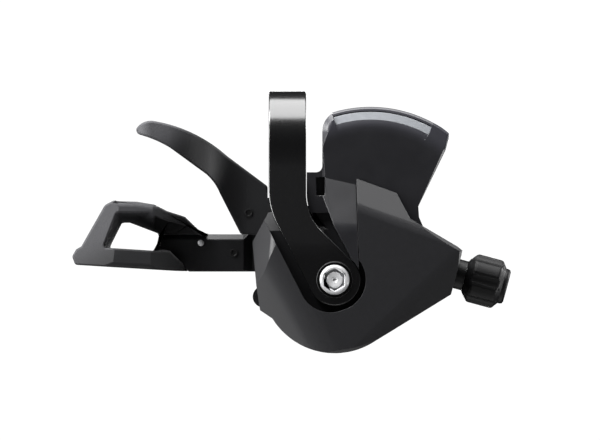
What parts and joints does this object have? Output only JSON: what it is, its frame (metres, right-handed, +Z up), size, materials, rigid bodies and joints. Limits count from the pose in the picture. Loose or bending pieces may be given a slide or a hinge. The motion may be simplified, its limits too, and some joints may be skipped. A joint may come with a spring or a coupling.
{
  "type": "trigger gear shifter",
  "caption": "Right-hand trigger gear shifter for a flat handlebar: clamp band, faceted covers over a ratchet spool, thumb and finger levers, fan-shaped gear indicator, cable adjuster.",
  "frame": {"origin": "centre of the handlebar clamp, on the bar's axis", "axes": "+X along the bar towards the cable exit, +Y back from the front cover, +Z up"},
  "size_m": [0.1224, 0.0396, 0.073],
  "materials": {
    "band_aluminium": "black anodised, satin",
    "bolt_steel": "plated, bright",
    "inner_steel": "plated",
    "spring_steel": "bare spring wire",
    "cover_plastic": "moulded, satin black",
    "indicator_plastic": "moulded, polished black",
    "lens_plastic": "clear, smoked",
    "dial_plastic": "moulded, printed",
    "pointer_plastic": "moulded",
    "lever_steel": "black coated",
    "lever_plastic": "moulded, fine grain",
    "spool_plastic": "moulded acetal",
    "adjuster_plastic": "moulded, matt",
    "adjuster_aluminium": "turned"
  },
  "bodies": {
    "shifter_body": {"clamp_band": "band_aluminium", "clamp_bolt": "bolt_steel", "main_axle": "inner_steel", "axle_washer": "inner_steel", "axle_nut": "inner_steel", "base_plate": "inner_steel", "hold_pawl_pin": "inner_steel", "indicator_housing": "indicator_plastic", "indicator_lens": "lens_plastic", "indicator_back": "indicator_plastic", "indicator_dial": "dial_plastic", "front_cover": "cover_plastic", "rear_cover": "cover_plastic", "cover_screws": "inner_steel", "cable_plug": "adjuster_plastic", "adjuster_collar": "adjuster_plastic", "release_spring": "spring_steel", "thumb_spring": "spring_steel", "spool_spring": "spring_steel"},
    "thumb_lever": {"thumb_arm": "lever_steel", "thumb_paddle": "lever_plastic", "feed_pawl_pin": "inner_steel"},
    "feed_pawl": {"feed_pawl": "inner_steel"},
    "hold_pawl": {"hold_pawl": "inner_steel"},
    "release_lever": {"release_lever": "lever_plastic"},
    "spool": {"cable_spool": "spool_plastic"},
    "indicator": {"indicator_spindle": "inner_steel", "indicator_pointer": "pointer_plastic"},
    "adjuster": {"adjuster_knob": "adjuster_plastic", "adjuster_bolt": "adjuster_aluminium", "adjuster_spring": "spring_steel"}
  },
  "joints": [
    {"name": "thumb_swing", "type": "hinge", "parent": "shifter_body", "child": "thumb_lever", "pos_m": [0.0131, 0, -0.038], "axis": [0, -1, 0], "range_deg": [0, 50], "stiffness_Nm_per_rad": 0.05, "springref_deg": -57.3, "deforming": ["thumb_spring"]},
    {"name": "feed_pawl_lift", "type": "hinge", "parent": "thumb_lever", "child": "feed_pawl", "pos_m": [-0.00184, 0, -0.03256], "axis": [0, 1, 0], "range_deg": [0, 8], "stiffness_Nm_per_rad": 0.002, "springref_deg": -17.19},
    {"name": "hold_pawl_lift", "type": "hinge", "parent": "shifter_body", "child": "hold_pawl", "pos_m": [0.02612, 0, -0.04712], "axis": [0, 1, 0], "range_deg": [0, 8], "stiffness_Nm_per_rad": 0.002, "springref_deg": -17.19},
    {"name": "release_swing", "type": "hinge", "parent": "shifter_body", "child": "release_lever", "pos_m": [0.0131, 0, -0.038], "axis": [0, -1, 0], "range_deg": [0, 12], "stiffness_Nm_per_rad": 0.1, "springref_deg": -34.38, "deforming": ["release_spring"]},
    {"name": "spool_turn", "type": "hinge", "parent": "shifter_body", "child": "spool", "pos_m": [0.0131, 0, -0.038], "axis": [0, -1, 0], "range_deg": [0, 168], "stiffness_Nm_per_rad": 0.02, "springref_deg": -28.65, "deforming": ["spool_spring"]},
    {"name": "indicator_turn", "type": "hinge", "parent": "shifter_body", "child": "indicator", "pos_m": [0.0231, 0, -0.0266], "axis": [0, 1, 0], "range_deg": [0, 42]},
    {"name": "adjuster_turn", "type": "hinge", "parent": "shifter_body", "child": "adjuster", "pos_m": [0.05443, 0.0006, -0.03831], "axis": [0.9659, 0, -0.2588], "range_deg": [-720, 720]}
  ],
  "couplings": [
    {"joint": "indicator_turn", "follows": "spool_turn", "ratio": 0.25}
  ]
}
